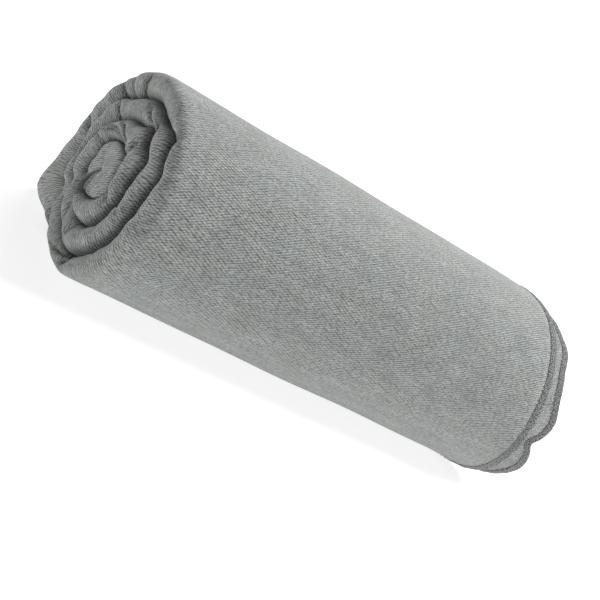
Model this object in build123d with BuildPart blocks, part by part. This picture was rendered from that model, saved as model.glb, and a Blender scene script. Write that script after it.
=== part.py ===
"""Knit throw blanket, folded in four across its width and rolled up.

The roll lies on the floor along X, with its folded end at -X and its hemmed end
at +X. Its cloth is a spiral of half circles in the YZ plane, which ends in a
flap at the rear, near the floor. The flap lifts about a line parallel to X.
The origin is under the middle of the roll, on the floor.
"""

import os
from dataclasses import dataclass
from math import cos, degrees, radians, sin

from build123d import *

# The cloth, laid flat
cloth_length = 1016.0  # the side that is rolled up
cloth_width = 1524.0  # the side that is folded across the roll
plies = 4
ply = 3.5  # one layer of the folded cloth, as it lies in the roll

# The roll
turn_gap = 0.4  # clear space between one turn and the next
core_hole_radius = 0.8  # the tightest bend of the innermost ply
trailing_angle = -50.0  # where the outer end of the cloth stops, from +Y towards +Z
telescoping = 4.0  # how far each turn's folded end stands out past the turn around it
floor_squash = 1.5  # how far the floor presses the lowest turn flat
fold_rounding = 5.0  # rounding of the plump folds at the folded end

# The flap and the hems
flap_length = 120.0
hinge_gap = 0.4
hem_width = 8.0
hem_stagger = 18.0  # how far the second ply reaches past the outermost one
fold_setback = 6.0  # how far the folded plies stay inside the hemmed end
thread_height = 0.5
thread_width = 1.0
thread_inset = 1.0  # from the inner side of a hem to its row of sewing

package = plies * ply
half_package = package / 2
pitch = package + turn_gap
roll_length = cloth_width / plies
folded_end = -roll_length / 2
hemmed_end = roll_length / 2
inner_hem_start = hemmed_end - hem_width
outer_hem_start = inner_hem_start - hem_stagger
fold_end = hemmed_end - fold_setback
trailing_hem_end = hem_width
leading_hem_start = cloth_length - hem_width


@dataclass
class Arc:
    """One stretch of the spiral: a circular arc that runs inwards, turning from +Y to +Z."""

    y: float
    z: float
    radius: float
    start: float
    sweep: float

    @property
    def length(self):
        """Length along the middle of the cloth."""
        return self.radius * radians(self.sweep)

    def reach(self, angle):
        """How far the cloth's outer side extends in the direction of an angle."""
        return self.y * cos(radians(angle)) + self.z * sin(radians(angle)) + self.radius + half_package


def spiral_arcs():
    """The whole cloth as half circles, listed from its trailing end inwards."""
    radii = []
    sweeps = []
    unused = cloth_length
    radius = core_hole_radius + half_package
    while unused > 0:
        sweep = min(180.0, degrees(unused / radius))
        radii.append(radius)
        sweeps.append(sweep)
        unused -= radius * radians(180.0)
        radius += pitch / 2
    arcs = []
    start = trailing_angle
    y = 0.0
    z = 0.0
    for radius, sweep in zip(reversed(radii), reversed(sweeps)):
        arcs.append(Arc(y, z, radius, start, sweep))
        start += sweep
        y += pitch / 2 * cos(radians(start))
        z += pitch / 2 * sin(radians(start))
    return arcs


def outer_reach(arcs, angle):
    """Reach of the roll in one direction, over the arcs that face it."""
    facing = [arc for arc in arcs if (angle - arc.start) % 360.0 <= arc.sweep]
    return max(arc.reach(angle) for arc in facing)


def standing_on_floor(arcs):
    """The same arcs, moved so that the roll is centred on Y and its flat underside is at Z = 0."""
    middle = (outer_reach(arcs, 0.0) - outer_reach(arcs, 180.0)) / 2
    height = outer_reach(arcs, 270.0) - floor_squash
    return [Arc(arc.y - middle, arc.z + height, arc.radius, arc.start, arc.sweep) for arc in arcs]


spiral = standing_on_floor(spiral_arcs())


def arcs_between(first, last):
    """The stretch of the spiral between two lengths, counted from the trailing end."""
    stretch = []
    passed = 0.0
    for arc in spiral:
        begin = max(first, passed)
        end = min(last, passed + arc.length)
        if end > begin:
            start = arc.start + degrees((begin - passed) / arc.radius)
            sweep = degrees((end - begin) / arc.radius)
            stretch.append(Arc(arc.y, arc.z, arc.radius, start, sweep))
        passed += arc.length
    return stretch


def length_at_turn(turned):
    """Length of cloth, from the trailing end, that has turned through an angle in degrees."""
    length = 0.0
    for arc in spiral:
        part = min(max(turned, 0.0), arc.sweep)
        length += arc.radius * radians(part)
        turned -= arc.sweep
    return length


def band(first, last, inner, outer, x):
    """Flat band across the roll: a stretch of the spiral between two depths in its thickness."""
    arcs = arcs_between(first, last)
    with BuildSketch(Plane.YZ.offset(x)) as profile:
        with BuildLine():
            outside = [CenterArc((arc.y, arc.z), arc.radius + outer, arc.start, arc.sweep) for arc in arcs]
            inside = [CenterArc((arc.y, arc.z), arc.radius + inner, arc.start, arc.sweep) for arc in arcs]
            Line(outside[0] @ 0, inside[0] @ 0)
            Line(outside[-1] @ 1, inside[-1] @ 1)
        make_face()
    return profile.sketch


def folded_package(first, last, x, outer=half_package):
    """All four plies over one stretch, from the folds at X: the outer two stop short at the hemmed end."""
    second_ply = half_package - ply
    extrude(band(first, last, -half_package, outer, x), amount=outer_hem_start - x)
    extrude(band(first, last, -half_package, second_ply, outer_hem_start), amount=inner_hem_start - outer_hem_start)
    extrude(band(first, last, -half_package, 0, inner_hem_start), amount=fold_end - inner_hem_start)


def fold_edges(part):
    """The long curved edges around the folded end that are wide enough to be rounded."""
    edges = part.faces().sort_by(Axis.X)[0].edges().filter_by(GeomType.CIRCLE)
    return [edge for edge in edges if edge.radius > 2 * fold_rounding]


def press_flat():
    """Cut away what the floor has pressed flat."""
    split(bisect_by=Plane.XY, keep=Keep.TOP)


def finished(part, name):
    """Label one sub-part and write it to its own file."""
    part.label = name
    export_step(part, f"parts/{name}.step")
    print(f"{name}: {len(part.solids())} solid(s), {part.volume / 1000:.2f} cm3")


os.makedirs("parts", exist_ok=True)

# The cloth of the roll, from the hinge line inwards, in full turns
hinge = arcs_between(flap_length, flap_length + pitch)[0]
flap_end = flap_length - hinge_gap
turned_at_hinge = hinge.start - trailing_angle
turn_ends = [length_at_turn(turned_at_hinge + 360.0 * turn) for turn in range(4)]
core_fold, inner_fold, middle_fold, outer_fold = [folded_end + telescoping * turn for turn in range(4)]

with BuildPart() as outer_turn:
    folded_package(turn_ends[0], turn_ends[1], outer_fold)
    fillet(fold_edges(outer_turn), fold_rounding)
    press_flat()
finished(outer_turn.part, "outer_turn")

with BuildPart() as middle_turn:
    folded_package(turn_ends[1], turn_ends[2], middle_fold)
    fillet(fold_edges(middle_turn), fold_rounding)
finished(middle_turn.part, "middle_turn")

with BuildPart() as inner_turn:
    folded_package(turn_ends[2], turn_ends[3], inner_fold)
    fillet(fold_edges(inner_turn), fold_rounding)
finished(inner_turn.part, "inner_turn")

with BuildPart() as core_turn:
    folded_package(turn_ends[3], leading_hem_start, core_fold)
    fillet(fold_edges(core_turn), fold_rounding)
finished(core_turn.part, "core_turn")

# The turned hem at the cloth's leading edge, in the heart of the roll
sewn_surface = half_package - thread_height

with BuildPart() as leading_hem:
    folded_package(leading_hem_start, cloth_length, core_fold, sewn_surface)
    fillet(fold_edges(leading_hem), fold_rounding)
finished(leading_hem.part, "leading_hem")

with BuildPart() as leading_thread:
    row_start = leading_hem_start + thread_inset
    row_end = core_fold + fold_rounding
    row = band(row_start, row_start + thread_width, sewn_surface, half_package, row_end)
    extrude(row, amount=outer_hem_start - row_end)
finished(leading_thread.part, "leading_thread")

# The two side hems at the hemmed end, each with its row of sewing, on the roll and on the flap
second_surface = half_package - ply
stretches = {"": (turn_ends[0], cloth_length), "flap_": (0.0, flap_end)}

for prefix, (first, last) in stretches.items():
    with BuildPart() as outer_side_hem:
        extrude(band(first, last, second_surface, sewn_surface, outer_hem_start), amount=hem_width)
        press_flat()
    finished(outer_side_hem.part, f"{prefix}outer_side_hem")

    with BuildPart() as outer_side_thread:
        row_start = outer_hem_start + thread_inset
        extrude(band(first, last, sewn_surface, half_package, row_start), amount=thread_width)
        press_flat()
    finished(outer_side_thread.part, f"{prefix}outer_side_thread")

    with BuildPart() as inner_side_hem:
        extrude(band(first, last, 0, second_surface - thread_height, inner_hem_start), amount=hem_width)
    finished(inner_side_hem.part, f"{prefix}inner_side_hem")

    with BuildPart() as inner_side_thread:
        row_start = inner_hem_start + thread_inset
        row = band(first, last, second_surface - thread_height, second_surface, row_start)
        extrude(row, amount=thread_width)
    finished(inner_side_thread.part, f"{prefix}inner_side_thread")

# The flap: the free end of the cloth, with the hem of the trailing edge
with BuildPart() as flap:
    folded_package(trailing_hem_end, flap_end, outer_fold)
    fillet(fold_edges(flap), fold_rounding)
finished(flap.part, "flap")

with BuildPart() as trailing_hem:
    folded_package(0, trailing_hem_end, outer_fold, sewn_surface)
    fillet(fold_edges(trailing_hem), fold_rounding)
finished(trailing_hem.part, "trailing_hem")

with BuildPart() as trailing_thread:
    row_start = trailing_hem_end - thread_inset - thread_width
    row_end = outer_fold + fold_rounding
    row = band(row_start, row_start + thread_width, sewn_surface, half_package, row_end)
    extrude(row, amount=outer_hem_start - row_end)
finished(trailing_thread.part, "trailing_thread")

hinge_radius = hinge.radius + half_package
hinge_y = hinge.y + hinge_radius * cos(radians(hinge.start))
hinge_z = hinge.z + hinge_radius * sin(radians(hinge.start))
print(f"hinge line at Y {hinge_y:.2f}, Z {hinge_z:.2f}, angle {hinge.start:.1f}")
print(f"turns in the roll: {sum(arc.sweep for arc in spiral) / 360:.2f}")
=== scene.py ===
"""Looks of the rolled throw blanket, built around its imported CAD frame.

One knit cloth is folded in four across its width and rolled up. Its cross-section is a
spiral of turns in the YZ plane; its folded end faces -X and its hemmed end faces +X.
Lengths are metres. An angle in the YZ plane is counted in degrees from +Y towards +Z, and
"turned" is how many degrees the cloth has turned inwards from its trailing edge.
"""

import logging
import math
from dataclasses import dataclass
from enum import Enum
from typing import Sequence

import bpy
import numpy as np
from mathutils import Matrix, Vector

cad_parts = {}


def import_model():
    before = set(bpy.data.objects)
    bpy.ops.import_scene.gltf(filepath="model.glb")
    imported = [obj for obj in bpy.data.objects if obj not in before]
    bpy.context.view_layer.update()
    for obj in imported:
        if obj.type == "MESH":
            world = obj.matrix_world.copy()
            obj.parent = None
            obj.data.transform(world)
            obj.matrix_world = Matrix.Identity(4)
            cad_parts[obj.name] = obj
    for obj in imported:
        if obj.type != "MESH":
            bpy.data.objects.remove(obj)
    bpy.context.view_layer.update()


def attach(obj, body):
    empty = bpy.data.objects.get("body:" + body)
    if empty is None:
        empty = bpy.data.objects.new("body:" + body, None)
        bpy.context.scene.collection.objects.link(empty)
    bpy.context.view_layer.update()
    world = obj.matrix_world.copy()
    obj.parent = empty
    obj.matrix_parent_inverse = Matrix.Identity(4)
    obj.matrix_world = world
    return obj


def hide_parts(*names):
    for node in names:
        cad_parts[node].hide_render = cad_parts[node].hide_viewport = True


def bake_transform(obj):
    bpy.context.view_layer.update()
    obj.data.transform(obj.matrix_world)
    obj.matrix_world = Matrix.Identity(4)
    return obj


LOG = logging.getLogger("throw")
MM = 0.001
FULL_TURN = 360.0
WHITE = (1.0, 1.0, 1.0, 1.0)

Array = np.ndarray


class Slot(Enum):
    """Material slots of the record."""

    KNIT = "knit"
    HEM = "hem"
    THREAD = "thread"


class Ply(Enum):
    """The two plies that end in a side hem, by their place from outside to inside."""

    OUTER = 0
    SECOND = 1


def ease(value: Array) -> Array:
    """Smooth step from 0 to 1: 3t^2 - 2t^3 of the value held between 0 and 1."""
    held = np.clip(value, 0.0, 1.0)
    return held * held * (3.0 - 2.0 * held)


def hill(value: Array, centre: float, width: float) -> Array:
    """Bell of height 1: e to the minus square of the distance from the centre over the width."""
    return np.exp(-(((value - centre) / width) ** 2))


def around(angle: Array, centre: float, width: float) -> Array:
    """The same bell on a circle, with angles in degrees that wrap at a full turn."""
    apart = (angle - centre + FULL_TURN / 2) % FULL_TURN - FULL_TURN / 2
    return np.exp(-((apart / width) ** 2))


# ------------------------------------------------------------------ shape of the roll


@dataclass(frozen=True)
class Swelling:
    """A stretch where a turn lies fuller, or tighter, than a plain circle."""

    turned: float
    width: float
    height: float


@dataclass(frozen=True)
class EndChange:
    """How the roll widens or narrows towards its hemmed end, on one side of it."""

    begins: float
    span: float
    angle: float
    width: float
    share: float


@dataclass(frozen=True)
class Crease:
    """A tuck pressed into the folded end.

    It crosses the fold at a turned angle, leans by some degrees towards the roll's axis, and
    fades behind the end.
    """

    turned: float
    depth: float
    width: float
    lean: float = 0.0
    reach: float = 11.0 * MM


@dataclass
class RollShape:
    """Cross-section of the roll, and where a point of the cloth lies in space."""

    axis_height: float = 65.0 * MM
    trailing_angle: float = -60.0
    leading_turned: float = 1414.0
    radius: float = 67.6 * MM
    pitch: float = 16.3 * MM
    climbs: int = 3
    climb_at: float = 352.0
    climb_every: float = 349.0
    climb_width: float = 88.0
    core_climb_width: float = 34.0
    least_radius: float = 0.4 * MM
    turn_gap: float = 0.3 * MM
    least_thickness: float = 6.0 * MM
    near_end: float = -178.5 * MM
    telescoping: float = 4.0 * MM
    core_from: float = 1040.0
    heart_from: float = 1330.0
    sinking_span: float = 60.0
    core_sunk: float = 6.0 * MM
    heart_sunk: float = 0.3
    corner_pull: float = 4.0 * MM
    pulled_from: float = -7.0
    pulled_span: float = 12.0
    flap_rise: float = 7.0 * MM
    flap_rise_span: float = 155.0
    corner_rise: float = 25.0 * MM
    corner_at: float = 12.0
    corner_width: float = 16.0
    corner_length: float = 55.0 * MM
    corner_share: float = 0.7
    press_sharpness: float = 40.0
    end_changes: Sequence[EndChange] = (
        EndChange(150.0 * MM, 45.0 * MM, 222.0, 34.0, 0.045),
        EndChange(112.0 * MM, 82.0 * MM, 78.0, 60.0, -0.042),
    )
    waviness: float = 0.0042
    least_reach: float = 12.0 * MM
    measured_depth: float = 0.4
    least_measured: float = 6.0 * MM
    swellings: Sequence[Swelling] = (
        Swelling(410.0, 18.0, -3.2 * MM),
        Swelling(446.0, 10.0, 2.6 * MM),
        Swelling(474.0, 16.0, -2.8 * MM),
        Swelling(540.0, 10.0, 7.4 * MM),
        Swelling(562.0, 10.0, 5.8 * MM),
        Swelling(592.0, 16.0, -2.2 * MM),
        Swelling(665.0, 22.0, 2.2 * MM),
        Swelling(755.0, 24.0, 1.9 * MM),
        Swelling(820.0, 30.0, -2.8 * MM),
        Swelling(886.0, 11.0, 9.0 * MM),
        Swelling(912.0, 11.0, 8.0 * MM),
        Swelling(1000.0, 18.0, 1.4 * MM),
        Swelling(1050.0, 16.0, -4.5 * MM),
        Swelling(1138.0, 20.0, -4.0 * MM),
        Swelling(1262.0, 13.0, 2.4 * MM),
        Swelling(1330.0, 24.0, 5.0 * MM),
        Swelling(1560.0, 90.0, -2.4 * MM),
    )

    def outer(self, turned: Array) -> Array:
        """Radius of the cloth's outer side.

        A first radius, less one pitch for each climb over the end of the turn inside it and
        one behind the leading edge, plus the swellings.

        Args:
            turned: Angles turned from the trailing edge.

        Returns:
            Radii in metres.
        """
        radius = np.full(np.shape(turned), self.radius)
        for climb in range(self.climbs):
            begin = self.climb_at + self.climb_every * climb - self.climb_width / 2
            radius = radius - self.pitch * ease((turned - begin) / self.climb_width)
        radius = radius - self.pitch * ease((turned - self.leading_turned) / self.core_climb_width)
        for swelling in self.swellings:
            radius = radius + swelling.height * hill(turned, swelling.turned, swelling.width)
        return np.maximum(radius, self.least_radius)

    def thickness(self, turned: Array) -> Array:
        """Depth of the folded package: from its outer side to the next turn's, less a gap."""
        inside = self.outer(turned + FULL_TURN) + self.turn_gap
        return np.maximum(self.outer(turned) - inside, self.least_thickness)

    def near(self, turned: Array) -> Array:
        """Where the folded end stands: each turn stands out a little further, but the core sinks back."""
        core = ease((turned - self.core_from) / self.sinking_span)
        heart = ease((turned - self.heart_from) / self.sinking_span)
        sunk = self.core_sunk * (core + self.heart_sunk * heart)
        pulled_in = self.corner_pull * (1.0 - ease((turned - self.pulled_from) / self.pulled_span))
        return self.near_end - self.telescoping * turned / FULL_TURN + sunk + pulled_in

    def loosening(self, turned: Array, along: Array) -> Array:
        """How far the outer side near the trailing edge swells off the roll, most at its folded corner.

        One low slope over the whole width and one high bell near the folded end. The inner
        side stays on the roll, so the plies fan out between.
        """
        low = self.flap_rise * (1.0 - ease(turned / self.flap_rise_span))
        high = self.corner_rise * hill(turned, self.corner_at, self.corner_width)
        near_corner = hill(along, self.near_end, self.corner_length)
        return low + high * (1.0 - self.corner_share + self.corner_share * near_corner)

    def relief(self, angle: Array, along: Array) -> Array:
        """Soft unevenness of the whole roll, as a share of the radius.

        Towards the hemmed end it narrows on top and widens low at the front. Two slanting sine
        waves, a long one and a shorter, lower one, run over all of it.
        """
        wave = np.sin(along / (31.0 * MM) + np.radians(angle) * 2.0)
        wave = wave + 0.7 * np.sin(along / (17.0 * MM) - np.radians(angle) * 3.0 + 1.3)
        share = self.waviness * wave
        for change in self.end_changes:
            towards_end = ease((along - change.begins) / change.span)
            share = share + change.share * towards_end * around(angle, change.angle, change.width)
        return share

    def place(self, turned: Array, depth: Array, along: Array) -> Array:
        """Points in space of the cloth.

        The radius is the outer side's less the depth, shared out by the relief, and pressed
        flat where the outermost turn would pass through the floor: a smooth minimum of the
        share that just reaches it and 1.

        Args:
            turned: Angles turned from the trailing edge.
            depth: Depths in from the outer side of the cloth.
            along: Places along the roll.

        Returns:
            Points, with their coordinates in the last dimension.
        """
        degrees = turned + self.trailing_angle
        angle = np.radians(degrees)
        first = np.where(turned < 0.0, turned, turned % FULL_TURN)
        swell = 1.0 + self.relief(degrees, along)
        outermost = (self.outer(first) + self.loosening(first, along)) * swell
        least_down, most_share = 0.001, 2.0
        down = np.maximum(-np.sin(angle), least_down)
        share = np.minimum(self.axis_height / (outermost * down), most_share)
        sharp = self.press_sharpness
        share = -np.log(np.exp(-sharp * share) + np.exp(-sharp)) / sharp
        level = 1.0 - np.clip(depth / self.thickness(turned), 0.0, 1.0)
        radius = (self.outer(turned) + self.loosening(turned, along) * level - depth) * swell * share
        return np.stack(
            [along, radius * np.cos(angle), self.axis_height + radius * np.sin(angle)], axis=-1
        )

    def reach(self, turned: Array) -> Array:
        """Radius of the outer side, but no less than a floor that keeps steps round the core fine."""
        return np.maximum(self.outer(turned), self.least_reach)

    def columns(self, first: float, last: float, spacing: float, close_at: Sequence[float] = ()) -> Array:
        """Turned angles that stand about one spacing apart, and closer at some places.

        Args:
            first: Turned angle of the first column.
            last: Turned angle of the last column.
            spacing: Usual distance between columns along the cloth.
            close_at: Turned angles near which columns stand at less than half that distance.

        Returns:
            Turned angles from first to last, with a narrow column at each end.
        """
        samples, closeness, close_width = 6000, 1.3, 4.0 * MM
        fine = np.linspace(first, last, samples)
        density = self.reach(fine) / spacing
        for place in close_at:
            width = np.degrees(close_width / self.reach(np.array(place)))
            density = density * (1.0 + closeness * hill(fine, place, width))
        count = np.concatenate([[0.0], np.cumsum(np.radians(np.diff(fine)) * density[1:])])
        steps = max(2, int(round(count[-1])))
        even = np.interp(np.linspace(0.0, count[-1], steps + 1), count, fine)
        sliver = 0.05
        return np.concatenate([even[:1], [even[0] + sliver], even[1:-1], [even[-1] - sliver], even[-1:]])

    def cloth_length(self, turned: Array) -> Array:
        """Length from the trailing edge of a line inside the cloth, by adding up small arcs."""
        samples, margin = 8000, 10.0
        fine = np.linspace(-margin, self.leading_turned + margin, samples)
        radii = self.outer(fine) - self.measured_depth * self.thickness(fine)
        radii = np.maximum(radii, self.least_measured)
        lengths = np.concatenate([[0.0], np.cumsum(np.radians(np.diff(fine)) * radii[1:])])
        return np.interp(turned, fine, lengths - np.interp(0.0, fine, lengths))


# ------------------------------------------------------------------ meshes


@dataclass
class Surface:
    """A grid of points, with the place of each on the cloth and its painted shade, that becomes one mesh."""

    points: Array
    flat: Array
    shade: Array | None = None

    def tube_faces(self) -> Array:
        """Faces of a grid whose second direction is closed, with both ends closed by strips.

        The loop of points at each end is shut by joining its first half to its second half,
        because it runs out along one side of the cloth and back along the other.
        """
        columns, rows = self.points.shape[:2]
        index = np.arange(columns * rows).reshape(columns, rows)
        ahead = np.roll(index, -1, axis=1)
        sides = np.stack([index[:-1], ahead[:-1], ahead[1:], index[1:]], axis=-1).reshape(-1, 4)
        half = rows // 2
        out = np.arange(half - 1)
        back = rows - 1 - out
        first = np.stack([index[0, out], index[0, back], index[0, back - 1], index[0, out + 1]], axis=-1)
        last = np.stack([index[-1, out], index[-1, out + 1], index[-1, back - 1], index[-1, back]], axis=-1)
        return np.concatenate([sides, first, last])

    def build(self, name: str) -> bpy.types.Object:
        """Makes the mesh object.

        Args:
            name: Name of the piece.

        Returns:
            The new object, smooth shaded, with its flat places as a UV map and the painted shade
            of each point, darker in creases and between turns, as an attribute.
        """
        piece = mesh_object(name, self.points.reshape(-1, 3), self.tube_faces(), self.flat.reshape(-1, 2))
        # Painted shade: each point's darkening in the creases, between turns and on the hidden plies.
        painted_shade = piece.data.attributes.new("painted_shade", "FLOAT", "POINT")
        if self.shade is not None:
            painted_shade.data.foreach_set("value", self.shade.astype(np.float32).ravel())
        return piece


def mesh_object(name: str, points: Array, faces: Array, flat: Array) -> bpy.types.Object:
    """Makes a smooth mesh object at the origin whose faces point outwards.

    Args:
        name: Name of the piece.
        points: Corner points.
        faces: Corner numbers of each four-sided face.
        flat: Place of each corner on the flat cloth.

    Returns:
        The object, linked to the scene.
    """
    a, b, c, d = (points[faces[:, corner]] for corner in range(4))
    volume = np.einsum("ij,ij->i", a, np.cross(b, c)) + np.einsum("ij,ij->i", a, np.cross(c, d))
    if volume.sum() < 0:
        faces = faces[:, ::-1]
    mesh = bpy.data.meshes.new(name)
    mesh.from_pydata(points.tolist(), [], faces.tolist())
    mesh.update()
    corners = np.zeros(len(mesh.loops), dtype=np.int32)
    mesh.loops.foreach_get("vertex_index", corners)
    layer = mesh.uv_layers.new(name="UVMap")
    layer.data.foreach_set("uv", flat[corners].astype(np.float32).ravel())
    mesh.polygons.foreach_set("use_smooth", np.ones(len(mesh.polygons), dtype=bool))
    piece = bpy.data.objects.new(name, mesh)
    bpy.context.scene.collection.objects.link(piece)
    return piece


# ------------------------------------------------------------------ the folded cloth


@dataclass(frozen=True)
class Lobe:
    """A stretch of the hemmed end that runs out further, or less far, than the rest."""

    angle: float
    width: float
    reach: float


@dataclass
class FarEdge:
    """Where the plies end at the hemmed end of the roll, by angle round the outer turn."""

    outer_ply: float = 168.5 * MM
    second_ply: float = 182.5 * MM
    fold: float = 180.0 * MM
    outer_lobes: Sequence[Lobe] = (
        Lobe(80.0, 20.0, -3.0 * MM),
        Lobe(196.0, 26.0, 8.0 * MM),
        Lobe(228.0, 24.0, 11.0 * MM),
    )
    second_lobes: Sequence[Lobe] = (
        Lobe(80.0, 15.0, -2.0 * MM),
        Lobe(118.0, 22.0, 2.5 * MM),
        Lobe(168.0, 17.0, 11.5 * MM),
        Lobe(184.0, 4.5, -4.0 * MM),
        Lobe(202.0, 17.0, 16.5 * MM),
        Lobe(228.0, 20.0, 17.0 * MM),
    )
    fold_lobes: Sequence[Lobe] = (
        Lobe(84.0, 18.0, -3.0 * MM),
        Lobe(160.0, 24.0, 4.0 * MM),
        Lobe(214.0, 18.0, 20.0 * MM),
    )

    fade: float = 0.8
    fade_from: float = 300.0
    fade_span: float = 160.0
    ripple: float = 0.6 * MM

    def reach(self, turned: Array, shape: RollShape, lobes: Sequence[Lobe]) -> Array:
        """How far the hemmed end runs out.

        Bells round the outer turn that fade further in, and two sine ripples round the roll.
        """
        angle = turned + shape.trailing_angle
        inward = 1.0 - self.fade * ease((turned - self.fade_from) / self.fade_span)
        out = sum(lobe.reach * around(angle, lobe.angle, lobe.width) for lobe in lobes) * inward
        ripple = np.sin(np.radians(angle) * 5.0 + 0.6) + np.sin(np.radians(turned) * 3.3)
        return out + self.ripple * ripple

    def end(self, turned: Array, ply: Ply, shape: RollShape) -> Array:
        """Where a ply with a side hem ends.

        Args:
            turned: Angles turned from the trailing edge.
            ply: Which of the two plies.
            shape: The roll.

        Returns:
            Places along the roll.
        """
        if ply is Ply.OUTER:
            return self.outer_ply + self.reach(turned, shape, self.outer_lobes)
        return self.second_ply + self.reach(turned, shape, self.second_lobes)

    def fold_end(self, turned: Array, shape: RollShape) -> Array:
        """Where the fold between the two inner plies stands."""
        return self.fold + self.reach(turned, shape, self.fold_lobes)


@dataclass
class FoldedCloth:
    """The knit cloth, folded in four: outer ply, second ply, third ply, inmost ply.

    The outer and inmost plies join in a fat fold at the near end, the second and third in
    a smaller fold inside that one, and the third and inmost in a fold at the far end.
    """

    shape: RollShape
    edge: FarEdge
    ply: float = 2.5 * MM
    nose: float = 8.4 * MM
    inner_setback: float = 9.0 * MM
    fullness: float = 0.9
    core_nose_loss: float = 0.62
    core_fullness_loss: float = 0.52
    most_of_depth: float = 5.0
    ripple: float = 0.25 * MM
    ripple_reach: float = 16.0 * MM
    # Crease depth at which its painted shade is full.
    full_shade: float = 4.0 * MM
    open_from: float = 150.0 * MM
    open_span: float = 18.0 * MM
    creased_points: int = 80
    end_hem_proud: float = 0.5 * MM
    core_slope: float = -42.3
    creases: Sequence[Crease] = (
        Crease(57.0, 4.8 * MM, 1.7, -6.0, 13.0 * MM),
        Crease(89.5, 4.8 * MM, 1.6, 1.5, 9.0 * MM),
        Crease(100.0, 3.0 * MM, 1.4, 3.0, 9.0 * MM),
        Crease(115.5, 5.0 * MM, 1.5, 0.0, 12.0 * MM),
        Crease(183.0, 2.6 * MM, 2.6, 2.0, 12.0 * MM),
        Crease(304.0, 6.0 * MM, 1.8, -9.0, 15.0 * MM),
        Crease(319.0, 4.6 * MM, 1.9, -22.0, 9.0 * MM),
        Crease(400.0, 2.2 * MM, 3.0, 8.0),
        Crease(456.0, 4.4 * MM, 1.9, 3.0),
        Crease(514.0, 4.6 * MM, 2.2, 22.0),
        Crease(530.0, 3.6 * MM, 2.2, 6.0),
        Crease(601.0, 1.8 * MM, 2.4, -5.0),
        Crease(668.0, 2.6 * MM, 2.0, -9.0),
        Crease(690.0, 2.2 * MM, 2.2, 6.0),
        Crease(795.0, 2.4 * MM, 3.0, 10.0),
        Crease(818.0, 4.4 * MM, 2.8, 62.0),
        Crease(836.0, 4.4 * MM, 2.8, 50.0),
        Crease(862.0, 5.0 * MM, 2.8, 34.0),
        Crease(899.0, 5.4 * MM, 3.0, 4.0),
        Crease(962.0, 2.4 * MM, 3.2, -8.0),
    )

    def thin(self, ply: float, deep: Array) -> Array:
        """Thickness that a ply takes up: its own, or at most a fifth of the package's depth."""
        return np.minimum(ply, deep / self.most_of_depth)

    def centreline(self, turned: Array, ply: float) -> tuple[Array, Array]:
        """The fold pattern across the cloth: places along the roll and depths of the cloth's middle.

        Straight runs between the ends, joined by rounded folds. A fold is a half circle whose
        sine and cosine are raised to a power below 1, which makes it fuller.

        Args:
            turned: Angles turned from the trailing edge, as a column.
            ply: Thickness of the cloth.

        Returns:
            Places along the roll, and depths, one row per column of the cloth.
        """
        shape = self.shape
        t = turned[:, None]
        deep = shape.thickness(t)
        thin = self.thin(ply, deep)
        step = (deep - thin) / 3.0
        levels = [thin / 2 + step * number for number in range(4)]
        near = shape.near(t)
        core = ease((t - shape.core_from) / 50.0)
        nose = self.nose * (1.0 - self.core_nose_loss * core)
        full = self.fullness - self.core_fullness_loss * core

        def run(begin: Array, end: Array, level: Array, spots: Array) -> tuple[Array, Array]:
            """A straight run between two places at one depth."""
            return begin + (end - begin) * spots[None, :], level + 0.0 * spots[None, :]

        def bend(tip: Array, bulge: Array, middle: Array, half: Array, spots: Array) -> tuple[Array, Array]:
            """A rounded fold about a middle depth, from its shallow side to its deep side."""
            sine, cosine = np.sin(spots)[None, :], np.cos(spots)[None, :]
            out = np.abs(sine) ** full
            return tip + bulge * (1.0 - out), middle - half * np.sign(cosine) * np.abs(cosine) ** full

        to_near = 1.0 - np.linspace(1.0, 0.0, 56) ** 2.1
        from_near = np.linspace(0.0, 1.0, 26) ** 1.8
        third_run, second_run = np.linspace(0.0, 1.0, 7), np.linspace(0.0, 1.0, 10)
        around_fold = np.linspace(0.0, math.pi, 21)[1:-1]
        around_small = np.linspace(0.0, math.pi, 9)[1:-1]
        middle = deep / 2
        large, small = (deep - thin) / 2, step / 2
        tip = near + thin / 2
        inner_tip = tip + self.inner_setback
        outer_end = self.edge.end(t, Ply.OUTER, shape)
        second_end = self.edge.end(t, Ply.SECOND, shape)
        fold_end = self.edge.fold_end(t, shape) - thin / 2
        parts = [
            run(outer_end, tip + nose, levels[0], to_near),
            bend(tip, nose, middle, large, around_fold),
            run(tip + nose, fold_end - small, levels[3], from_near),
            bend(fold_end, -small, levels[2] + small, -small, around_small),
            run(fold_end - small, inner_tip + small, levels[2], third_run),
            bend(inner_tip, small, middle, -small, around_small),
            run(inner_tip + small, second_end, levels[1], second_run),
        ]
        along, depth = (np.concatenate(pieces, axis=1) for pieces in zip(*parts))
        return along, depth

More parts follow.
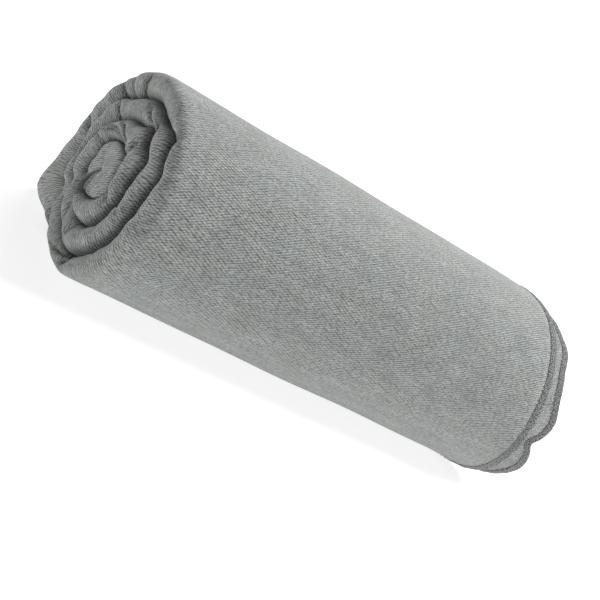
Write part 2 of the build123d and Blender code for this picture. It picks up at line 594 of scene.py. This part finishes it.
    def pressed(self, turned: Array, along: Array, depth: Array) -> tuple[Array, Array]:
        """How far the creases press in at each point, and the painted shade in their valleys.

        Each is a sharp valley, e to the minus distance over width. It fades back from the
        folded end as a bell, and fades out on the outer side. Three fine sines along the
        cloth make a ripple that fades behind the end.

        Args:
            turned: Angles turned from the trailing edge.
            along: Places along the roll of the fold pattern.
            depth: Depths of the fold pattern.

        Returns:
            Distances pressed in, and painted shade from 0 to 1.
        """
        back = along - self.shape.near(turned)[:, None]
        inward = 2.0 * depth / self.shape.thickness(turned)[:, None] - 1.0
        face = ease((inward + 0.8) / 0.6)
        total, shade = np.zeros(along.shape), np.zeros(along.shape)
        for crease in self.creases:
            apart = np.abs(turned[:, None] - crease.turned - crease.lean * inward)
            valley = np.exp(-apart / crease.width) * np.exp(-((back / crease.reach) ** 2)) * face
            total = total + crease.depth * valley
            # Painted shade, darkest in the valleys of the deeper creases.
            shade = np.maximum(shade, valley * min(1.0, crease.depth / self.full_shade))
        length = self.shape.cloth_length(turned)[:, None]
        ripple = np.sin(length / (2.3 * MM)) + np.sin(length / (3.9 * MM) + 1.0)
        ripple = ripple + np.sin(length / (7.1 * MM))
        return total + self.ripple * ripple * (1.0 - ease(back / self.ripple_reach)), shade

    def painted_shade_between_turns(self, turned: Array, along: Array, depth: Array) -> Array:
        """Painted shade by how deep a point lies between turns: 0 where it is open, 1 a few millimetres
        inside.
        """
        back = along - self.shape.near(turned)[:, None]
        inward = 2.0 * depth / self.shape.thickness(turned)[:, None] - 1.0
        under = np.where(inward > 0.0, 1.0, ease((turned[:, None] - 325.0) / 40.0))
        return ease((back - 1.6 * MM) / (5.0 * MM)) * ease(np.abs(inward) / 0.7) * under

    def shell(self, turned: Array, ply: float, extra: float = 0.0) -> Surface:
        """A closed sheet of cloth over some columns: out along one side and back along the other.

        The sides lie half a thickness from the fold pattern, square to it. The creases press
        only the pattern's first points, which are the outer ply and the fat fold at its end.

        Args:
            turned: Angles turned from the trailing edge.
            ply: Thickness of the cloth between its sides.
            extra: What a turned hem adds to that thickness.

        Returns:
            The grid of points.
        """
        along, depth = self.centreline(turned, ply)
        run_along = np.gradient(along, axis=1)
        run_depth = np.gradient(depth, axis=1)
        length = np.maximum(np.hypot(run_along, run_depth), 1e-7)
        out_along, out_depth = run_depth / length, -run_along / length
        sign = np.sign(out_depth[:, :1])
        out_along, out_depth = -out_along * sign, -out_depth * sign
        press, shade = self.pressed(turned, along, depth)
        # The painted shade between turns joins the creases' painted shade.
        shade = np.maximum(shade, self.painted_shade_between_turns(turned, along, depth))
        outer_fold = (np.arange(along.shape[1]) < self.creased_points)[None, :]
        # Painted shade on the plies inside the outer one: full, fading out near the hemmed end where they
        # show.
        hidden_ply_shade = 1.0 - ease((along - self.open_from) / self.open_span)
        press, shade = press * outer_fold, np.where(outer_fold, shade, hidden_ply_shade)
        along = along - out_along * press
        depth = depth - out_depth * press
        half = self.thin(ply, self.shape.thickness(turned))[:, None] / 2 + extra / 2
        across = np.concatenate([np.zeros((len(turned), 1)), np.cumsum(length[:, 1:], axis=1)], axis=1)
        across = np.broadcast_to(across.mean(axis=0), across.shape)
        x = np.concatenate([along + out_along * half, (along - out_along * half)[:, ::-1]], axis=1)
        d = np.concatenate([depth + out_depth * half, (depth - out_depth * half)[:, ::-1]], axis=1)
        points = self.shape.place(turned[:, None], d, x)
        lengthwise = np.broadcast_to(self.shape.cloth_length(turned)[:, None], x.shape)
        crosswise = np.concatenate([across, across[:, ::-1]], axis=1)
        flat = np.stack([lengthwise, crosswise], axis=-1)
        in_core = ease((turned - self.shape.core_from) / 40.0)[:, None, None]
        flat = flat + (self.core_flat(points) - flat) * in_core
        return Surface(points, flat, np.concatenate([shade, shade[:, ::-1]], axis=1))

    def core_flat(self, points: Array) -> Array:
        """Place on the flat cloth of the core, whose end is seen flat.

        It is Y and Z, turned so that the knit's ridges run down it at the core's slope.
        """
        turn = math.radians(self.core_slope - KnitFinish.ridge_slant)
        cosine, sine = math.cos(turn), math.sin(turn)
        y, z = points[..., 1], points[..., 2]
        return np.stack([z * cosine - y * sine, y * cosine + z * sine], axis=-1)

    def build(self, name: str, first: float, last: float, spacing: float) -> bpy.types.Object:
        """The cloth between two turned angles.

        Args:
            name: Name of the piece.
            first: Turned angle where it begins.
            last: Turned angle where it ends.
            spacing: Distance between its columns.

        Returns:
            The piece.
        """
        places = [crease.turned for crease in self.creases]
        turned = self.shape.columns(first, last, spacing, places)
        return self.shell(turned, self.ply).build(name)

    def end_hem(self, name: str, first: float, last: float) -> bpy.types.Object:
        """The narrow turned hem along the trailing or leading edge, over all four plies."""
        turned = np.linspace(first, last, 7)
        return self.shell(turned, self.ply, self.end_hem_proud).build(name)


# ------------------------------------------------------------------ hems and stitches


@dataclass
class SideHem:
    """A narrow turned hem along the side edge of one ply."""

    shape: RollShape
    edge: FarEdge
    cloth: FoldedCloth
    ply: Ply
    width: float = 8.0 * MM
    proud: float = 0.4 * MM
    overhang: float = 0.5 * MM
    spacing: float = 2.4 * MM
    points_round: int = 20

    def middle_depth(self, turned: Array) -> Array:
        """Depth of the middle of the ply."""
        deep = self.shape.thickness(turned)
        thin = self.cloth.thin(self.cloth.ply, deep)
        return thin / 2 + (deep - thin) / 3.0 * self.ply.value

    def build(self, name: str, first: float, last: float) -> bpy.types.Object:
        """The hem between two turned angles: a flat rounded tube round the ply's edge.

        Its section is a rounded oblong, the signed power of a cosine and a sine. It
        puckers a little between stitches.

        Args:
            name: Name of the piece.
            first: Turned angle where it begins.
            last: Turned angle where it ends.

        Returns:
            The piece.
        """
        turned = self.shape.columns(first, last, self.spacing)
        t = turned[:, None]
        angle = (np.arange(self.points_round) + 0.5)[None, :] / self.points_round * 2 * math.pi
        wide = np.sign(np.cos(angle)) * np.abs(np.cos(angle)) ** 0.45
        high = np.sign(np.sin(angle)) * np.abs(np.sin(angle)) ** 0.6
        deep = self.shape.thickness(t)
        half = self.cloth.thin(self.cloth.ply, deep) / 2 + self.proud
        length = self.shape.cloth_length(t)
        pucker = 1.0 + 0.10 * np.sin(length / (1.5 * MM)) + 0.08 * np.sin(length / (4.1 * MM))
        end = self.edge.end(t, self.ply, self.shape) + self.overhang
        x = end - self.width / 2 + wide * self.width / 2
        d = self.middle_depth(t) - high * half * pucker
        flat = np.stack([length + 0.0 * x, (x - end) + 0.0 * length], axis=-1)
        return Surface(self.shape.place(t, d, x), flat).build(name)


@dataclass
class Stitching:
    """A row of short stitches: small rounded pads of thread with tapered ends."""

    shape: RollShape
    pitch: float = 3.0 * MM
    length: float = 2.2 * MM
    radius: float = 0.42 * MM
    rings: int = 5
    sides: int = 6

    def pads(self, name: str, turned: Array, depth: Array, along: Array, heading: Array) -> bpy.types.Object:
        """Stitches centred at places of the cloth.

        Each is a short round bar: rings of points whose radius is the root of 1 - 0.9 s^2
        along its length, closed at each end by two four-sided faces.

        Args:
            name: Name of the piece.
            turned: Turned angle of each stitch.
            depth: Depth of each stitch.
            along: Place along the roll of each stitch.
            heading: Degrees from the direction round the roll to the direction along it.

        Returns:
            The piece.
        """
        centre = self.shape.place(turned, depth, along)
        nudge = 0.2
        before = self.shape.place(turned - nudge, depth, along)
        ahead = self.shape.place(turned + nudge, depth, along) - before
        ahead = ahead / np.linalg.norm(ahead, axis=-1, keepdims=True)
        side = np.broadcast_to(np.array([1.0, 0.0, 0.0]), ahead.shape)
        up = np.cross(side, ahead)
        up = up / np.linalg.norm(up, axis=-1, keepdims=True)
        turn = np.radians(heading)[:, None]
        forward = ahead * np.cos(turn) + side * np.sin(turn)
        across = np.cross(up, forward)
        steps = np.linspace(-1.0, 1.0, self.rings)
        girth = np.sqrt(np.maximum(1.0 - steps**2 * 0.9, 0.0)) * self.radius
        spin = np.arange(self.sides) / self.sides * 2 * math.pi
        ring = across[:, None, None] * np.cos(spin)[None, None, :, None]
        ring = ring + up[:, None, None] * np.sin(spin)[None, None, :, None]
        onward = (steps * self.length / 2)[None, :, None, None]
        spine = centre[:, None, None] + forward[:, None, None] * onward
        points = spine + ring * girth[None, :, None, None]
        count = len(centre)
        index = np.arange(count * self.rings * self.sides).reshape(count, self.rings, self.sides)
        ahead_index = np.roll(index, -1, axis=2)
        sides = np.stack([index[:, :-1], ahead_index[:, :-1], ahead_index[:, 1:], index[:, 1:]], axis=-1)
        ends = (index[:, -1], index[:, 0, ::-1])
        halves = [ring[:, corners] for corners in ((0, 1, 2, 3), (0, 3, 4, 5)) for ring in ends]
        faces = np.concatenate([sides.reshape(-1, 4), *halves])
        lengthwise = np.tile(np.repeat(steps, self.sides), count)
        flat = np.stack([lengthwise, np.tile(spin, count * self.rings)], axis=-1)
        return mesh_object(name, points.reshape(-1, 3), faces, flat)

    def along_hem(self, name: str, hem: SideHem, first: float, last: float) -> bpy.types.Object:
        """A row of stitches round the roll, near the inner line of a side hem."""
        lengths = self.shape.cloth_length(np.array([first, last]))
        count = int((lengths[1] - lengths[0]) / self.pitch)
        samples = 4000
        fine = np.linspace(first, last, samples)
        even = np.linspace(lengths[0], lengths[1], count + 2)[1:-1]
        turned = np.interp(even, self.shape.cloth_length(fine), fine)
        thin = hem.cloth.thin(hem.cloth.ply, self.shape.thickness(turned))
        depth = hem.middle_depth(turned) - thin / 2 - hem.proud + 0.1 * MM
        place = hem.edge.end(turned, hem.ply, self.shape) - hem.width + 1.6 * MM
        return self.pads(name, turned, depth, place, np.full(len(turned), 12.0))

    def across_edge(self, name: str, cloth: FoldedCloth, turned: float) -> bpy.types.Object:
        """A row of stitches along the roll, on the outer ply beside the trailing or leading edge."""
        end = float(cloth.edge.end(np.array(turned), Ply.OUTER, self.shape)) - 10.0 * MM
        begin = float(self.shape.near(np.array(turned))) + cloth.nose + 4.0 * MM
        place = np.arange(begin, end, self.pitch)
        spot = np.full(len(place), turned)
        depth = np.full(len(place), -0.3 * MM)
        return self.pads(name, spot, depth, place, np.full(len(place), 84.0))


# ------------------------------------------------------------------ finishes


class Value:
    """A number socket of a material, on which Python's operators add Math nodes."""

    def __init__(self, sheet: "Sheet", socket: "bpy.types.NodeSocket | float") -> None:
        """Wraps a socket, or a plain number, of a material sheet."""
        self.sheet = sheet
        self.socket = socket

    def math(self, operation: str, *others: "Value | float") -> "Value":
        """Adds one Math node on this value and others."""
        values = dict(enumerate((self, *others)))
        made = self.sheet.node("ShaderNodeMath", {"operation": operation}, values)
        return Value(self.sheet, made.outputs[0])

    def __add__(self, other: "Value | float") -> "Value":
        """This plus the other."""
        return self.math("ADD", other)

    def __mul__(self, other: "Value | float") -> "Value":
        """This times the other."""
        return self.math("MULTIPLY", other)

    def __sub__(self, other: "Value | float") -> "Value":
        """This less the other."""
        return self.math("SUBTRACT", other)

    def __rsub__(self, other: float) -> "Value":
        """The other less this."""
        return Value(self.sheet, other).math("SUBTRACT", self)

    def __truediv__(self, other: "Value | float") -> "Value":
        """This over the other."""
        return self.math("DIVIDE", other)

    __radd__ = __add__
    __rmul__ = __mul__


class Sheet:
    """The nodes of a new material or world, with one method that adds any node."""

    def __init__(self, owner: bpy.types.Material | bpy.types.World) -> None:
        """Empties the node tree of its owner."""
        owner.use_nodes = True
        self.owner = owner
        self.tree = owner.node_tree
        self.tree.nodes.clear()

    def node(self, kind: str, settings: dict | None = None, values: dict | None = None) -> bpy.types.Node:
        """Adds a node.

        Args:
            kind: Blender's type name of the node.
            settings: Properties to set first.
            values: A number, colour or link for each input, by its name or number.

        Returns:
            The node.
        """
        made = self.tree.nodes.new(kind)
        for key, value in (settings or {}).items():
            setattr(made, key, value)
        for key, value in (values or {}).items():
            held = value.socket if isinstance(value, Value) else value
            if isinstance(held, bpy.types.NodeSocket):
                self.tree.links.new(held, made.inputs[key])
            else:
                made.inputs[key].default_value = held
        return made

    def flat_place(self) -> tuple[Value, Value]:
        """Places on the flat cloth: lengthwise and crosswise, in metres."""
        place = self.node("ShaderNodeUVMap", {"uv_map": "UVMap"})
        parts = self.node("ShaderNodeSeparateXYZ", {}, {0: place.outputs[0]})
        return Value(self, parts.outputs[0]), Value(self, parts.outputs[1])

    def attribute(self, name: str) -> Value:
        """A number that the mesh holds at its points."""
        return Value(self, self.node("ShaderNodeAttribute", {"attribute_name": name}).outputs["Fac"])

    def noise(self, x: Value, y: Value, detail: float = 2.0, roughness: float = 0.5) -> Value:
        """Smooth noise of about 0 to 1 over two coordinates whose unit is one patch."""
        place = self.node("ShaderNodeCombineXYZ", {}, {0: x, 1: y})
        settings = {"noise_dimensions": "2D"}
        values = {"Vector": place.outputs[0], "Scale": 1.0, "Detail": detail, "Roughness": roughness}
        return Value(self, self.node("ShaderNodeTexNoise", settings, values).outputs[0])

    def blotch(self, size: tuple[float, float], detail: float, roughness: float = 0.5) -> Value:
        """Smooth noise over the flat cloth, by its patch size lengthwise and crosswise."""
        lengthwise, crosswise = self.flat_place()
        return self.noise(lengthwise / size[0], crosswise / size[1], detail, roughness)

    def spread(self, value: Value, low: float, high: float) -> Value:
        """Takes a value from between low and high to between 0 and 1, held at the ends."""
        made = self.node("ShaderNodeMapRange", {"clamp": True}, {0: value, 1: low, 2: high})
        return Value(self, made.outputs[0])

    def mix(
        self, mask: "Value | float", first: object, second: object, how: str = "MIX"
    ) -> bpy.types.NodeSocket:
        """Mixes two colours by a mask."""
        settings = {"data_type": "RGBA", "blend_type": how}
        return self.node("ShaderNodeMix", settings, {0: mask, 6: first, 7: second}).outputs[2]

    def lit(self, colour: object, light: Value) -> bpy.types.NodeSocket:
        """A colour times a number."""
        tone = self.node("ShaderNodeCombineColor", {}, {0: light, 1: light, 2: light}).outputs[0]
        return self.mix(1.0, colour, tone, "MULTIPLY")

    def finish(
        self, colour: object, roughness: object, sheen: float, height: Value, relief: float
    ) -> bpy.types.Material:
        """Ends the material with its shader.

        Args:
            colour: Base colour.
            roughness: Roughness.
            sheen: Weight of the soft fibre sheen.
            height: Height of the surface, of about 0 to 1.
            relief: Height in metres that a value of 1 stands for.

        Returns:
            The material.
        """
        bump = self.node("ShaderNodeBump", {}, {"Strength": 1.0, "Distance": relief, "Height": height})
        values = {
            "Base Color": colour,
            "Roughness": roughness,
            "Sheen Weight": sheen,
            "Sheen Roughness": 0.55,
            "Specular IOR Level": 0.18,
            "Normal": bump.outputs[0],
        }
        shader = self.node("ShaderNodeBsdfPrincipled", {}, values)
        self.node("ShaderNodeOutputMaterial", {}, {0: shader.outputs[0]})
        return self.owner


@dataclass(frozen=True)
class KnitFinish:
    """Heathered knit: fine ridges crossed by a slanting twill, flecks, and soft streaks along the roll."""

    name: str = "heather_knit"
    shade: tuple[float, float, float] = (0.370, 0.391, 0.380)
    cool: tuple[float, float, float] = (0.356, 0.393, 0.382)
    warm: tuple[float, float, float] = (0.382, 0.391, 0.366)
    ridge_pitch: float = 1.45 * MM
    ridge_slant: float = 25.0
    twill_pitch: float = 1.85 * MM
    twill_slant: float = -19.0
    relief: float = 0.75 * MM
    wander_size: tuple[float, float] = (7.0 * MM, 7.0 * MM)
    patch_size: tuple[float, float] = (22.0 * MM, 30.0 * MM)
    slub_size: tuple[float, float] = (2.6 * MM, 16.0 * MM)
    streak_size: tuple[float, float] = (9.0 * MM, 26.0 * MM)
    # How dark the painted shade in the knit's grooves is.
    groove_shade: float = 0.2
    fleck_contrast: float = 0.8
    streak_contrast: float = 0.2
    # How dark the mesh's painted shade makes the knit.
    painted_shade_strength: float = 0.72
    sheen: float = 0.34

    def lines(self, lengthwise: Value, crosswise: Value, slant: float, pitch: float) -> Value:
        """Place across a family of slanting lines, counted in pitches."""
        slope = math.radians(slant)
        return (lengthwise * (math.cos(slope) / pitch)) - (crosswise * (math.sin(slope) / pitch))

    def material(self) -> bpy.types.Material:
        """Makes the material.

        Ridges and twill are each a cosine across their lines, and their product makes the
        beads of the yarn. The twill comes and goes in broad patches, and grows along and
        across the cloth. Noise gives the yarn's unevenness, flecks and streaks. The low
        places of the height get painted shade, and so do the places that the mesh's painted
        shade marks.
        """
        sheet = Sheet(bpy.data.materials.new(self.name))
        lengthwise, crosswise = sheet.flat_place()
        tau = 2 * math.pi
        wander = sheet.blotch(self.wander_size, 1.0) - 0.5
        across = self.lines(lengthwise, crosswise, self.ridge_slant, self.ridge_pitch) + wander * 0.5
        twill_across = self.lines(lengthwise, crosswise, self.twill_slant, self.twill_pitch) + wander * 0.4
        ridge = (across * tau).math("COSINE") * 0.5 + 0.5
        twill = (twill_across * tau).math("COSINE") * 0.5 + 0.5
        patch = sheet.blotch(self.patch_size, 2.0)
        lower = sheet.spread(lengthwise, 0.18, 0.34)
        strength = sheet.spread(patch * 0.45 + crosswise * 0.8 + lower * 0.13, 0.26, 0.62) * 0.8
        dash = sheet.spread(sheet.noise(across * 0.8, twill_across + 9.0, 2.0, 0.7), 0.3, 0.62)
        clear = sheet.spread(crosswise, 0.05, 0.3) * 0.15 + 0.85
        weave = ridge + (twill * (ridge * 0.5 + 0.5) - ridge) * strength
        bead = 0.5 + (weave - 0.5) * (dash * 0.75 + 0.25) * clear
        yarn = sheet.noise(across * 1.6, twill_across * 0.9, 3.0, 0.7)
        height = bead * 0.8 + yarn * 0.5
        fleck = sheet.spread(sheet.noise(across, twill_across + 40.0, 3.0, 0.8), 0.34, 0.66)
        slub = sheet.spread(sheet.blotch(self.slub_size, 2.0, 0.6), 0.3, 0.7)
        streak = sheet.spread(sheet.blotch(self.streak_size, 3.0, 0.6), 0.3, 0.7)
        tint = sheet.mix(sheet.spread(patch, 0.3, 0.7), (*self.cool, 1.0), (*self.warm, 1.0))
        body = sheet.mix(0.5, (*self.shade, 1.0), tint)
        # Painted shade in the knit's grooves: the lower the height, the darker.
        light = 1 - (1 - sheet.spread(height, 0.2, 0.85)) * (1 - self.groove_shade)
        light = light * (fleck * self.fleck_contrast + (1 - self.fleck_contrast / 2))
        for stripe in (streak, slub):
            light = light * (stripe * self.streak_contrast + (1 - self.streak_contrast / 2))
        # Painted shade from the mesh: darker in the creases, between turns and on the hidden plies.
        light = light * (1 - sheet.attribute("painted_shade") * self.painted_shade_strength)
        return sheet.finish(sheet.lit(body, light), 0.92 - ridge * 0.1, self.sheen, height, self.relief)


@dataclass(frozen=True)
class HemFinish:
    """Hem of the same yarn turned under: fine cross ribs, darker, with strong flecks."""

    name: str = "turned_hem"
    shade: tuple[float, float, float] = (0.248, 0.255, 0.251)
    rib_pitch: float = 1.3 * MM
    fibre_size: tuple[float, float] = (0.8 * MM, 0.9 * MM)
    speck_size: tuple[float, float] = (1.1 * MM, 0.9 * MM)
    # How dark the mesh's painted shade makes the hem.
    painted_shade_strength: float = 0.6
    sheen: float = 0.2
    relief: float = 0.6 * MM

    def material(self) -> bpy.types.Material:
        """Makes the material: a cosine along the hem, with specks of dark and light yarn."""
        sheet = Sheet(bpy.data.materials.new(self.name))
        lengthwise, _ = sheet.flat_place()
        rib = (lengthwise * (2 * math.pi / self.rib_pitch)).math("COSINE") * 0.5 + 0.5
        fibre = sheet.blotch(self.fibre_size, 3.0, 0.75)
        speck = sheet.spread(sheet.blotch(self.speck_size, 1.0, 0.6), 0.38, 0.58)
        # Dark and light yarn specks, painted shade in the ribs' valleys, and the mesh's painted shade.
        light = (speck * 1.1 + 0.16) * (rib * 0.3 + 0.8) * (1 - sheet.attribute("painted_shade") * self.painted_shade_strength)
        colour = sheet.lit((*self.shade, 1.0), light)
        return sheet.finish(colour, 0.9 - speck * 0.08, self.sheen, rib * 0.6 + fibre * 0.9, self.relief)


@dataclass(frozen=True)
class ThreadFinish:
    """Twisted sewing thread, a little smoother than the yarn."""

    name: str = "sewing_thread"
    shade: tuple[float, float, float] = (0.235, 0.243, 0.24)
    sheen: float = 0.1
    relief: float = 0.08 * MM

    def material(self) -> bpy.types.Material:
        """Makes the material: slanting twist lines, with painted shade between the strands."""
        sheet = Sheet(bpy.data.materials.new(self.name))
        onward, spin = sheet.flat_place()
        twist = ((onward * 3.0 + spin * 2.0) * 2.0).math("COSINE") * 0.5 + 0.5
        # Painted shade between the strands of the twist.
        colour = sheet.lit((*self.shade, 1.0), twist * 0.35 + 0.8)
        return sheet.finish(colour, 0.72 - twist * 0.1, self.sheen, twist, self.relief)


# ------------------------------------------------------------------ the throw


@dataclass
class Throw:
    """The rolled throw: its cloth on the roll, its cloth on the flap, and their hems."""

    shape: RollShape
    edge: FarEdge
    cut_width: float = 1.524
    cut_length: float = 1.016
    flap_begins: float = -7.0
    flap_ends: float = 158.0
    hinge_turned: float = 115.1
    hem_width: float = 8.0 * MM
    column_spacing: float = 2.6 * MM
    blend_before: float = 40.0 * MM
    blend_after: float = 30.0 * MM

    def __post_init__(self) -> None:
        """Makes the finishes that the pieces share."""
        self.finishes = {
            Slot.KNIT: KnitFinish().material(),
            Slot.HEM: HemFinish().material(),
            Slot.THREAD: ThreadFinish().material(),
        }
        self.cloth = FoldedCloth(self.shape, self.edge)
        self.outer_hem = SideHem(self.shape, self.edge, self.cloth, Ply.OUTER, self.hem_width)
        self.second_hem = SideHem(self.shape, self.edge, self.cloth, Ply.SECOND, self.hem_width)
        self.stitching = Stitching(self.shape)

    def dress(self, piece: bpy.types.Object, slot: Slot, *nodes: str) -> bpy.types.Object:
        """Gives a piece its finish, and says which CAD nodes it stands for."""
        piece.data.materials.append(self.finishes[slot])
        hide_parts(*nodes)
        LOG.info("%s: %d faces, stands for %s", piece.name, len(piece.data.polygons), ", ".join(nodes))
        return piece

    def hem_span(self, turned: float) -> float:
        """Degrees of turn that the width of an end hem takes at a place."""
        return math.degrees(self.hem_width / float(self.shape.reach(np.array(turned))))

    def flat_size(self, first: float, last: float) -> tuple[float, float]:
        """Cut size of the cloth between two turned angles: its share of the cut length."""
        whole = float(self.shape.cloth_length(np.array(self.shape.leading_turned)))
        ends = self.shape.cloth_length(np.array([first, last]))
        return self.cut_width, self.cut_length * float(ends[1] - ends[0]) / whole

    def edging(
        self, names: dict[str, str], span: tuple[float, float], end: tuple[float, float], row: float
    ) -> list[bpy.types.Object]:
        """Builds the hems and the stitches of a stretch of cloth.

        Args:
            names: Each piece's name and its CAD node: the outer side hem, the second ply's, the
                end hem, and the stitches of each.
            span: Turned angles between which the side hems run.
            end: Turned angles between which the end hem lies.
            row: Turned angle of the end hem's stitches.

        Returns:
            The pieces.
        """
        outer, second, across, outer_row, second_row, across_row = names
        pieces = [
            self.outer_hem.build(outer, *span),
            self.second_hem.build(second, *span),
            self.cloth.end_hem(across, *end),
            self.stitching.along_hem(outer_row, self.outer_hem, *span),
            self.stitching.along_hem(second_row, self.second_hem, *span),
            self.stitching.across_edge(across_row, self.cloth, row),
        ]
        slots = (Slot.HEM, Slot.HEM, Slot.HEM, Slot.THREAD, Slot.THREAD, Slot.THREAD)
        return [self.dress(piece, slot, names[piece.name]) for piece, slot in zip(pieces, slots)]

    def build_roll(self) -> None:
        """Builds the cloth, hems and stitches that stay wound up."""
        first, last = self.flap_ends, self.shape.leading_turned
        hem = self.hem_span(last)
        cloth = self.cloth.build("roll_cloth", first, last, self.column_spacing)
        self.dress(cloth, Slot.KNIT, "outer_turn", "middle_turn", "inner_turn", "core_turn")
        names = {
            "roll_outer_side_hem": "outer_side_hem",
            "roll_inner_side_hem": "inner_side_hem",
            "leading_edge_hem": "leading_hem",
            "roll_outer_stitches": "outer_side_thread",
            "roll_inner_stitches": "inner_side_thread",
            "leading_edge_stitches": "leading_thread",
        }
        pieces = self.edging(names, (first, last), (last - hem * 0.6, last + 1.0), last - hem * 0.5)
        for piece in (cloth, *pieces):
            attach(piece, "roll")
        self.flat_size(first, last)

    def build_flap(self) -> None:
        """Builds the free end of the cloth, up to where it leaves the roll."""
        first, last = self.flap_begins, self.flap_ends
        hem = self.hem_span(first)
        cloth = self.cloth.build("flap_cloth", first, last, self.column_spacing)
        self.dress(cloth, Slot.KNIT, "flap")
        names = {
            "flap_outer_hem": "flap_outer_side_hem",
            "flap_inner_hem": "flap_inner_side_hem",
            "trailing_edge_hem": "trailing_hem",
            "flap_outer_stitches": "flap_outer_side_thread",
            "flap_inner_stitches": "flap_inner_side_thread",
            "trailing_edge_stitches": "trailing_thread",
        }
        pieces = self.edging(names, (first, last), (first - 0.6, first + hem), first + hem * 0.8)
        radius = float(self.shape.outer(np.array(self.hinge_turned)))
        for piece in (cloth, *pieces):
            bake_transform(piece)
        flat = self.flat_size(first, last)


# ------------------------------------------------------------------ room


@dataclass(frozen=True)
class Lamp:
    """A large square lamp that points at the roll."""

    name: str
    place: tuple[float, float, float]
    power: float
    size: float = 1.6


@dataclass
class Studio:
    """Plain pale floor, soft light and the camera."""

    azimuth: float = -39.33
    elevation: float = 20.0
    camera_roll: float = 43.045
    distance: float = 1048.7 * MM
    aim_height: float = 65.0 * MM
    aim_right: float = -14.06 * MM
    aim_up: float = -10.2 * MM
    lens: float = 94.8
    sensor: float = 36.0
    floor_half: float = 30.0
    floor_shade: float = 0.5
    floor_glow: float = 0.76
    sky: float = 0.27
    horizon: float = 1.0
    horizon_band: tuple[float, float] = (0.05, 0.3)
    lamps: Sequence[Lamp] = (
        Lamp("key", (2.5, 0.0, 2.9), 172.0),
        Lamp("fill", (-0.4, -2.2, 0.9), 1.5),
        Lamp("rim", (1.3, 1.8, 2.2), 42.0),
    )

    def camera(self) -> None:
        """Sets the camera: from its azimuth and elevation, turned about its own line of sight."""
        azimuth, elevation = math.radians(self.azimuth), math.radians(self.elevation)
        across, down = math.cos(elevation), math.sin(elevation)
        forward = Vector((-math.sin(azimuth) * across, math.cos(azimuth) * across, -down))
        level = forward.cross(Vector((0.0, 0.0, 1.0))).normalized()
        above = level.cross(forward)
        turn = math.radians(self.camera_roll)
        right = level * math.cos(turn) + above * math.sin(turn)
        up = above * math.cos(turn) - level * math.sin(turn)
        aim = Vector((0.0, 0.0, self.aim_height))
        place = aim - forward * self.distance + right * self.aim_right + up * self.aim_up
        data = bpy.data.cameras.new("camera")
        data.lens = self.lens
        data.sensor_width = self.sensor
        camera = bpy.data.objects.new("camera", data)
        turned = Matrix((right, up, -forward)).transposed().to_4x4()
        camera.matrix_world = Matrix.Translation(place) @ turned
        bpy.context.scene.collection.objects.link(camera)
        bpy.context.scene.camera = camera

    def floor(self) -> None:
        """Makes the floor, a large plain plane."""
        half = self.floor_half
        corners = [(-half, -half, 0.0), (half, -half, 0.0), (half, half, 0.0), (-half, half, 0.0)]
        mesh = bpy.data.meshes.new("floor")
        mesh.from_pydata(corners, [], [(0, 1, 2, 3)])
        floor = bpy.data.objects.new("floor", mesh)
        bpy.context.scene.collection.objects.link(floor)
        sheet = Sheet(bpy.data.materials.new("pale_floor"))
        values = {
            "Base Color": (self.floor_shade, self.floor_shade, self.floor_shade, 1.0),
            "Roughness": 0.9,
            "Specular IOR Level": 0.1,
            "Emission Color": WHITE,
            "Emission Strength": self.floor_glow,
        }
        shader = sheet.node("ShaderNodeBsdfPrincipled", {}, values)
        sheet.node("ShaderNodeOutputMaterial", {}, {0: shader.outputs[0]})
        mesh.materials.append(sheet.owner)

    def light(self, lamp: Lamp) -> None:
        """Adds a lamp."""
        data = bpy.data.lights.new(lamp.name, "AREA")
        data.energy = lamp.power
        data.size = lamp.size
        made = bpy.data.objects.new(lamp.name, data)
        place = Vector(lamp.place)
        aim = Vector((0.0, 0.0, self.aim_height)) - place
        turned = aim.to_track_quat("-Z", "Y").to_matrix().to_4x4()
        made.matrix_world = Matrix.Translation(place) @ turned
        bpy.context.scene.collection.objects.link(made)

    def world(self) -> None:
        """Makes the sky: white, brightest in a band at the horizon, and dimmer above it."""
        room = Sheet(bpy.data.worlds.new("white_room"))
        place = room.node("ShaderNodeTexCoord")
        parts = room.node("ShaderNodeSeparateXYZ", {}, {0: place.outputs["Generated"]})
        height = room.spread(parts.outputs["Z"], *self.horizon_band)
        low = room.node("ShaderNodeBackground", {}, {"Color": WHITE, "Strength": self.horizon})
        high = room.node("ShaderNodeBackground", {}, {"Color": WHITE, "Strength": self.sky})
        both = room.node("ShaderNodeMixShader", {}, {0: height, 1: low.outputs[0], 2: high.outputs[0]})
        room.node("ShaderNodeOutputWorld", {}, {0: both.outputs[0]})
        bpy.context.scene.world = room.owner

    def build(self) -> None:
        """Builds the camera, the floor, the lamps and the sky."""
        self.camera()
        self.floor()
        for lamp in self.lamps:
            self.light(lamp)
        self.world()
        bpy.context.scene.view_settings.view_transform = "Standard"


def main() -> None:
    """Builds the throw round its frame, then the room."""
    logging.basicConfig(level=logging.INFO, format="%(name)s: %(message)s")
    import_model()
    Studio().build()
    throw = Throw(RollShape(), FarEdge())
    throw.build_roll()
    throw.build_flap()
    LOG.info("boxes written")


if __name__ == "__main__":
    main()
